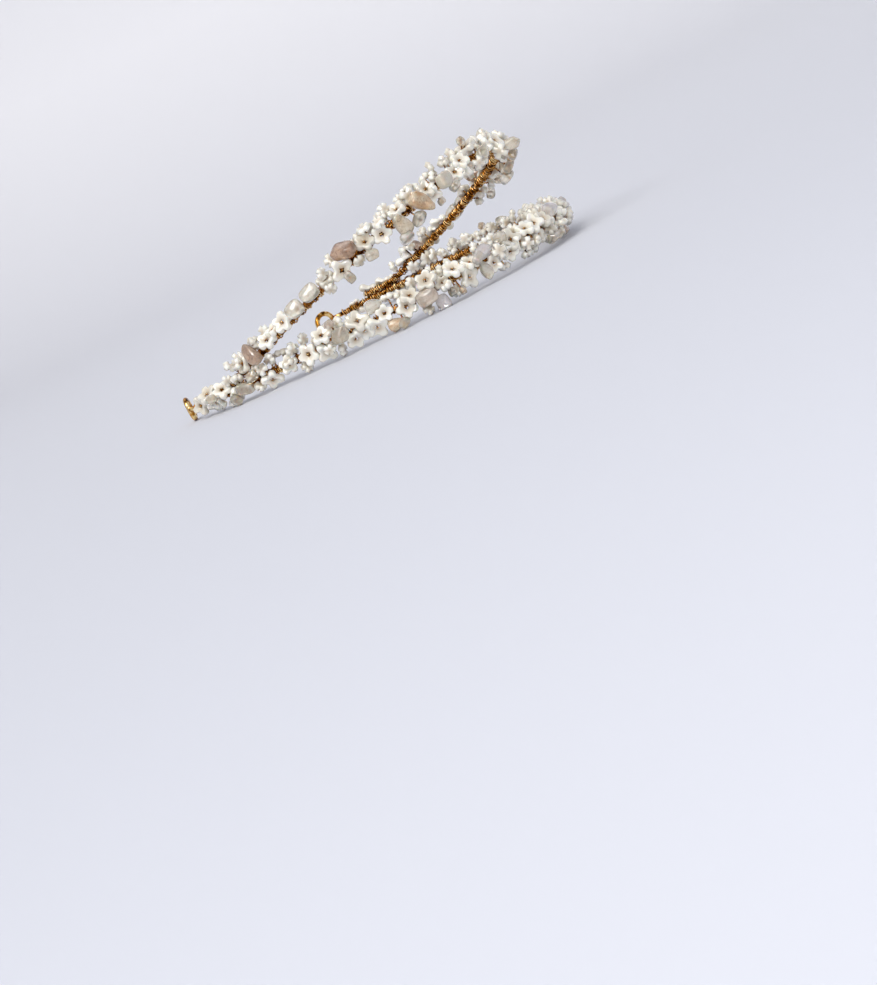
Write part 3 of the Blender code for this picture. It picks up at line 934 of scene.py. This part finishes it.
def modelSmallFlower(petals):
    # the same bead with few faces, for those that crowd in between: a flattened ball with dimpled poles
    corners = 3 * petals
    leaveAll()
    bpy.ops.mesh.primitive_uv_sphere_add(segments=corners, ring_count=4, radius=1.0)
    flower = bpy.context.object
    first = flower.data.vertices[1].co      # on the sphere's first meridian
    turn = atan2(first.y, first.x)

    def cornerOf(vertex):
        if vertex.co.xy.length < flowerForm["poleReach"]:
            return None
        return round((atan2(vertex.co.y, vertex.co.x) - turn) / (2 * pi) * corners) % 3

    slide = radians(flowerForm["shoulderAngle"] - 180 / corners)
    shapePetals(flower, petals, cornerOf, ((1, slide), (2, -slide)))
    pick(flower, "vertices", lambda vertex: cornerOf(vertex) is None)
    stretch(1, 1, flowerForm["dimple"])
    finishEdit()
    bpy.ops.object.shade_smooth()
    fillUnit(flower, 1.0)
    markHeartShade(flower)
    return flower


flowerModels = {petals: modelFlower(petals) for petals in (4, 5)}
smallFlowers = {petals: modelSmallFlower(petals) for petals in (4, 5)}


def leftHalf(rows, frontRows):
    # the left half: its own front flowers, then the right half's with small differences
    result = [(-row[0],) + tuple(row[1:]) for row in frontRows]
    for along, around, reach, petals, diameter in rows:
        if along > mirroredFrom:
            shift = chance.uniform(-mirrorShift, mirrorShift)
            result.append((shift - along, around, reach, 5 if petals == 4 else 4, diameter))
    return result


# Small stones between the main ones, which sit as near to the wire as their neighbours let them.
# The left half repeats the band's, and the arch's from the fourth on.
# Columns: along, around, reach, length, breadth, depth, turn, kind, sort, paleness

smallBandStones = (
    (47.2, -50, 4.2, 2.6, 2.6, 2.6, 0, "bead", "clear", 0.0),
    (44.2, -46, 4.0, 2.4, 2.4, 2.4, 0, "bead", "clear", 0.0),
    (85.5, 52, 7.4, 3.4, 2.8, 3.4, 30, "crystal", "rose", 0.75),
    (128.0, -35, 4.6, 3.4, 4.4, 3.0, 0, "pebble", "clear", 0.6),
    (36.0, 20, 4.6, 4.4, 3.2, 3.0, 25, "pebble", "lavender", 0.5),
    (64.5, -44, 4.6, 4.2, 3.0, 2.8, 40, "pebble", "clear", 0.4),
    (118.0, 25, 4.4, 4.6, 3.4, 2.8, 10, "pebble", "clear", 0.5),
    (135.5, 8, 4.2, 3.8, 3.0, 2.8, 0, "pebble", "smoky", 0.5),
)
smallArchStones = (
    (11.0, 62, 8.2, 3.0, 3.0, 3.6, 20, "crystal", "clear", 0.0),
    (28.7, -75, 2.8, 2.8, 2.4, 2.4, 0, "bead", "clear", 0.3),
    (6.0, -75, 2.8, 2.8, 2.6, 2.6, 0, "bead", "clear", 0.6),
    (39.7, -50, 4.8, 4.2, 5.6, 3.2, -30, "pebble", "clear", 0.8),
    (46.5, -66, 4.8, 5.0, 6.0, 3.4, 0, "pebble", "clear", 0.9),
    (68.0, -35, 4.6, 3.2, 4.4, 3.0, 0, "pebble", "clear", 0.7),
    (22.5, -42, 4.2, 4.4, 3.4, 2.8, 15, "pebble", "clear", 0.5),
    (58.5, -30, 4.4, 4.6, 3.6, 2.8, -20, "pebble", "smoky", 0.5),
)
smallArchStonesLeft = (
    (24.0, -35, 4.4, 4.4, 3.0, 2.8, 20, "pebble", "clear", 0.4),
    (17.6, -55, 4.0, 3.0, 2.8, 2.6, 0, "bead", "clear", 0.8),
)


smallStoneFit = {"tries": 12, "step": 0.2}      # mm further out at each try


def laySmallStones(name, side, route, rows, taken):
    # gives back the rows that their wires need
    direction = 1 if side == "right" else -1
    wireRows = []
    for number, row in enumerate(rows):
        along, around, reach, length, breadth, depth, turn, kind, sort, paleness = row
        size = Matrix.Diagonal((length, breadth, depth, 1))
        for _ in range(smallStoneFit["tries"]):
            place = seat(route, direction * along, around, reach, direction * turn) @ size
            space = spaceOf(smallModels[kind], place)
            if not meets(space, taken):
                break
            reach += smallStoneFit["step"]
        stone = copyShape(smallModels[kind], f"{name}{side.title()}SmallStone{number}", place)
        keepOffFloor(stone)
        taken.append(space)
        fillAttribute(stone, "paleness", paleness)
        settle(stone, quartz[sort], sort + "_quartz")
        wireRows.append((direction * along, around, reach, 0, length))
    return wireRows


# Smaller flowers that crowd in between the main ones, wherever there is room for them
crowding = {
    "step": 1.1,
    "tries": 44,
    "diameters": (4.2, 6.0),
    "aroundBand": (-95, 110),
    "aroundArch": (-28, 118),    # the arch shows its wire from below
    "reach": (2.8, 5.4),
    "edgeOn": 0.78,          # share of them that turn their edge to the front
    "edgeTilt": 78,
    "flatTilt": (0, 30),     # the others
    "petalTurn": (0, 72),
    "petals": (4, 5, 5),
    "bareArch": (75, 100),   # the stretch of the arch that shows its wire
    "endsFree": 13.0,        # and the end loops stay clear
    "beyond": 6.0,           # how far the small flowers run past the first and the last main one
}


def spaceOf(shape, place=Matrix.Identity(4)):
    # what a piece fills, for telling whether two pieces meet
    points = [place @ vertex.co for vertex in shape.data.vertices]
    middle = sum(points, Vector()) / len(points)
    return {
        "tree": BVHTree.FromPolygons(points, [face.vertices for face in shape.data.polygons]),
        "middle": middle,
        "reach": max((point - middle).length for point in points),
        "low": min(point.z for point in points),
    }


def meets(space, taken):
    for other in taken:
        near = (space["middle"] - other["middle"]).length < space["reach"] + other["reach"]
        if near and space["tree"].overlap(other["tree"]):
            return True
    return False


def crowdIn(name, route, rows, taken):
    shapes = []
    extraRows = []
    places = [row[0] for row in rows]
    place, last = min(places) - crowding["beyond"], max(places) + crowding["beyond"]
    while place < last:
        place += crowding["step"]
        if route is arch and crowding["bareArch"][0] < abs(place) < crowding["bareArch"][1]:
            continue
        if abs(place) > route["reach"] - crowding["endsFree"]:
            continue
        for _ in range(crowding["tries"]):
            around = whim.uniform(*crowding["aroundArch" if route is arch else "aroundBand"])
            reach = whim.uniform(*crowding["reach"])
            diameter, petals = whim.uniform(*crowding["diameters"]), whim.choice(crowding["petals"])
            edgeOn = whim.random() < crowding["edgeOn"]
            tilt = crowding["edgeTilt"] if edgeOn else whim.uniform(*crowding["flatTilt"])
            facing = (
                seat(route, place, around, reach, whim.uniform(0, 360))
                @ turned(tilt, "X")
                @ turned(whim.uniform(*crowding["petalTurn"]), "Z")
            )
            thick = flowerForm["thick"] * flowerForm["smallThick"]
            size = Matrix.Diagonal((diameter / 2, diameter / 2, thick, 1))
            space = spaceOf(smallFlowers[petals], facing @ size)
            if space["low"] > 0 and not meets(space, taken):
                flower = copyShape(smallFlowers[petals], f"{name}Extra{len(shapes)}", facing @ size)
                giveTone(flower)
                taken.append(space)
                shapes.append(flower)
                extraRows.append((place, around, reach, petals, diameter))
                break
    return shapes, extraRows


def giveTone(flower):
    # how far each flower leans from white towards grey shell
    fillAttribute(flower, "tone", max(0.0, whim.uniform(*shellLook["toneRange"])))


def layFlowers(name, route, rows):
    shapes = []
    for number, (along, around, reach, petals, diameter) in enumerate(rows):
        turn = 360 / petals * chance.random()
        size = Matrix.Diagonal((diameter / 2, diameter / 2, flowerForm["thick"] / 2, 1))
        facing = seat(route, along, around, reach, 0)
        droop = flowerForm["droop"] if around < flowerForm["droopBelow"] else 0
        lean = flowerForm["lean"]
        tilt = (
            turned(whim.uniform(-lean, lean) + droop, "X")
            @ turned(whim.uniform(-lean, lean), "Y")
            @ turned(turn, "Z")
        )
        flower = copyShape(flowerModels[petals], f"{name}{number}", facing @ tilt @ size)
        keepOffFloor(flower)
        giveTone(flower)
        shapes.append(flower)
    return shapes


strings = []
for label, route, rows, frontRows in (
    ("band", band, bandFlowers, bandFlowersLeftFront),
    ("arch", arch, archFlowers, archFlowersLeftFront),
):
    for side, sideRows in (("right", list(rows)), ("left", leftHalf(rows, frontRows))):
        name = f"{label}Flowers{side.title()}"
        flowers = layFlowers(name, route, sideRows)
        strings.append((name, f"{label}_flowers_{side}", route, sideRows, flowers))
taken = [spaceOf(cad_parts[node]) for node in ("band_frame", "arch_frame")]
taken += [spaceOf(shape) for shape in stones]
taken += [spaceOf(flower) for *_, flowers in strings for flower in flowers]
stoneWires = {}
for side, archRows in (("right", smallArchStones), ("left", smallArchStonesLeft + smallArchStones[3:])):
    stoneWires[f"bandFlowers{side.title()}"] = laySmallStones("band", side, band, smallBandStones, taken)
    stoneWires[f"archFlowers{side.title()}"] = laySmallStones("arch", side, arch, archRows, taken)
beadRows = []
for name, node, route, rows, flowers in strings:
    extras, extraRows = crowdIn(name, route, rows, taken)
    settle(joinShapes(name, flowers + extras), shell, "shell", node)
    beadRows.append((name, route, rows, extraRows + stoneWires[name]))
    print(name, len(flowers), "main and", len(extras), "smaller flowers")
for models in (flowerModels, smallFlowers, pebbles, special, smallModels):
    for model in models.values():
        bpy.data.objects.remove(model)


# Beading wire: runs from flower to flower, and up through each flower's hole in a twisted pair

beading = {
    "radius": 0.17,
    "hug": 1.45,             # from the main wire's axis
    "step": 1.4,
    "twistRadius": 0.19,
    "twistPitch": 1.5,
    "twistSteps": 8,
    "stalkFrom": 3.3,        # beads further out than this have a stalk of their own
    "wander": 14,            # degrees by which the run strays round the main wire
    "loose": 0.25,
    "sunk": 0.3,             # a pair starts this far inside the run
    "overrun": 0.6,          # and is this much longer than the way to its bead's middle
    "fewestSteps": 4,
    "knotSteps": 8,
    "knotHalf": 0.42,
    "knotLift": 0.15,
    "knotRise": 0.275,
}


def aroundAt(stops, place):
    if place <= stops[0][0]:
        return stops[0][1]
    for before, after in zip(stops, stops[1:]):
        if place <= after[0]:
            share = (place - before[0]) / (after[0] - before[0])
            return before[1] + (after[1] - before[1]) * share * share * (3 - 2 * share)
    return stops[-1][1]


def beadPaths(route, rows, extraRows):
    paths = []
    stops = sorted((row[0], row[1]) for row in rows if row[2] <= beading["stalkFrom"])
    first, last = min(row[0] for row in rows), max(row[0] for row in rows)
    count = round((last - first) / beading["step"])
    run = []
    for step in range(count + 1):
        place = first + (last - first) * step / count
        astray = whim.uniform(-beading["wander"], beading["wander"])
        here, _, away = routeFrame(route, place, aroundAt(stops, place) + astray)
        run.append(here + away * (beading["hug"] + whim.uniform(0, beading["loose"])))
    paths.append(run)
    for along, around, reach, _, _ in rows + extraRows:
        here, ahead, away = routeFrame(route, along, around)
        side = away.cross(ahead)
        length = reach - beading["hug"] + beading["overrun"]
        steps = max(round(length / beading["twistPitch"] * beading["twistSteps"]), beading["fewestSteps"])
        for phase in (0, pi):
            pair = []
            for step in range(steps + 1):
                angle = phase + 2 * pi * step / beading["twistSteps"]
                off = (ahead * cos(angle) + side * sin(angle)) * beading["twistRadius"]
                pair.append(here + away * (beading["hug"] - beading["sunk"] + length * step / steps) + off)
            paths.append(pair)
        knot = []
        for step in range(beading["knotSteps"] + 1):
            angle = pi * step / beading["knotSteps"]
            rise = away * (reach + beading["knotLift"] + beading["knotRise"] * sin(angle))
            knot.append(here + rise + ahead * beading["knotHalf"] * cos(angle))
        paths.append(knot)
    return paths


for name, route, rows, extraRows in beadRows:
    wire = drawWire(name + "Wire", beadPaths(route, rows, extraRows), beading["radius"])
    settle(wire, gold, "gold_wire")
print("beading wire drawn")


# Stage: a round pale floor whose rim rises in a soft curve, soft light from one side, and painted light
# where the wall glows on that side

stageForm = {"flat": 1500.0, "bend": 900.0, "height": 1500.0, "bendSteps": 12, "turnSteps": 72}
stageLook = {
    "floor": "#D2D4DB",
    "wall": "#E8E9EE",
    "wallRange": (0.0, 0.3),     # metres up, over which the tint turns
    "wallGlowRange": (0.2, -2.2, 0.2),     # painted light: metres across, over which the wall comes to glow, and how much
    "roughness": 0.8,
}
sunLook = {"direction": (-0.60, 0.02, 0.80), "strength": 1.75, "softness": 38.0, "tint": "#FFFAF0"}
worldLook = {"tint": "#E6EAF8", "strength": 0.46}

# Bright panes that put sparkles on the shell, the stones and the wire.
# Columns: x, y, z in metres, size in metres, power in watts
sparkles = (
    (-0.75, 0.35, 0.75, 0.30, 1.8),
    (-0.80, -0.62, 0.34, 0.35, 2.6),
    (0.30, 0.30, 1.10, 0.80, 1.4),
)


def addDisc():
    bpy.ops.mesh.primitive_circle_add(
        vertices=stageForm["turnSteps"], radius=stageForm["flat"] * mm, fill_type="NGON"
    )
    return bpy.context.object


def buildStage():
    look = stageLook
    flat, bend, steps = [stageForm[name] for name in ("flat", "bend", "bendSteps")]
    leaveAll()
    floor = addDisc()
    pick(floor, "polygons", lambda face: True)
    for step in range(1, steps + 1):
        angle = pi / 2 * step / steps
        before = pi / 2 * (step - 1) / steps
        wide = (flat + bend * sin(angle)) / (flat + bend * sin(before))
        rise = bend * (cos(before) - cos(angle))
        bpy.ops.mesh.extrude_region()
        stretch(wide, wide, 1)
        bpy.ops.transform.translate(value=(0, 0, rise * mm))
    bpy.ops.mesh.extrude_region()
    bpy.ops.transform.translate(value=(0, 0, stageForm["height"] * mm))
    bpy.ops.mesh.delete(type="ONLY_FACE")
    bpy.ops.object.mode_set(mode="OBJECT")
    floor = joinShapes("studioFloor", [floor, addDisc()])
    editAll(floor)
    bpy.ops.mesh.remove_doubles(threshold=mm)
    bpy.ops.object.mode_set(mode="OBJECT")
    bpy.ops.object.shade_smooth()
    material, shader, add, where = startMaterial("matPaperFloor")
    height = add("SeparateXYZ", "Z", {"Vector": where})
    climb = add("MapRange", "Result", ranging(height, *look["wallRange"]))
    sideways = add("MapRange", "Result", ranging(height.node.outputs["X"], *look["wallGlowRange"]))
    finish = {
        "Base Color": add("ValToRGB", "Color", {"Fac": climb}, hexCodes=(look["floor"], look["wall"])),
        # painted light: the wall glows on one side, though no lamp is there
        "Emission Strength": add("Math", 0, {0: climb, 1: sideways}, {"operation": "MULTIPLY"}),
        "Emission Color": colour(look["wall"]),
        "Roughness": look["roughness"],
    }
    setInputs(shader, finish)
    floor.data.materials.append(material)


def aimLamp(lamp, direction, tint):
    lamp.rotation_euler = Vector(direction).to_track_quat("Z", "Y").to_euler()
    lamp.data.color = colour(tint)[:3]
    lamp.visible_camera = False


def lightStage():
    leaveAll()
    bpy.ops.object.light_add(type="SUN", location=sunLook["direction"])
    sun = bpy.context.object
    sun.data.energy = sunLook["strength"]
    sun.data.angle = radians(sunLook["softness"])
    aimLamp(sun, sunLook["direction"], sunLook["tint"])
    for x, y, z, size, power in sparkles:
        bpy.ops.object.light_add(type="AREA", location=(x, y, z))
        lamp = bpy.context.object
        lamp.data.shape = "DISK"
        lamp.data.size = size
        lamp.data.energy = power
        aimLamp(lamp, (x, y, z), "#FFFFFF")
    world = bpy.data.worlds.new("paleRoom")
    world.use_nodes = True
    sky = {"Color": colour(worldLook["tint"]), "Strength": worldLook["strength"]}
    setInputs(world.node_tree.nodes["Background"], sky)
    bpy.context.scene.world = world
    # whites stay as bright as in the photograph
    bpy.context.scene.view_settings.view_transform = "Standard"


buildStage()
lightStage()
print("stage and light ready")
